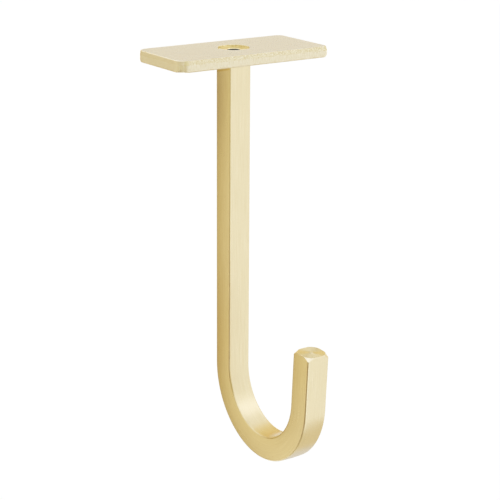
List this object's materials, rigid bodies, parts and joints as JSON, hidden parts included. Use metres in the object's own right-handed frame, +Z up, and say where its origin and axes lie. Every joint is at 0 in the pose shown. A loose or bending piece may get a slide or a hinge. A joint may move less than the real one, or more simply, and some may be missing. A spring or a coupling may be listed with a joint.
{
  "type": "ceiling hook",
  "caption": "Brass ceiling hook: a flat rectangular mounting plate with a tapped stud hole, and a square bar brazed under its middle and bent into a J to hang things from.",
  "frame": {"origin": "middle of the plate's upper face, on the axis of the stud hole, where the plate meets the ceiling", "axes": "+Z up into the ceiling, X along the plate's long side, the hook opens towards -Y"},
  "size_m": [0.067, 0.0741, 0.1591],
  "materials": {
    "plate_brass": "satin, fine vertical scratches on the sheared edges",
    "bar_brass": "brushed along the bar"
  },
  "bodies": {
    "root": {"mounting_plate": "plate_brass", "hook_bar": "bar_brass"}
  },
  "joints": []
}
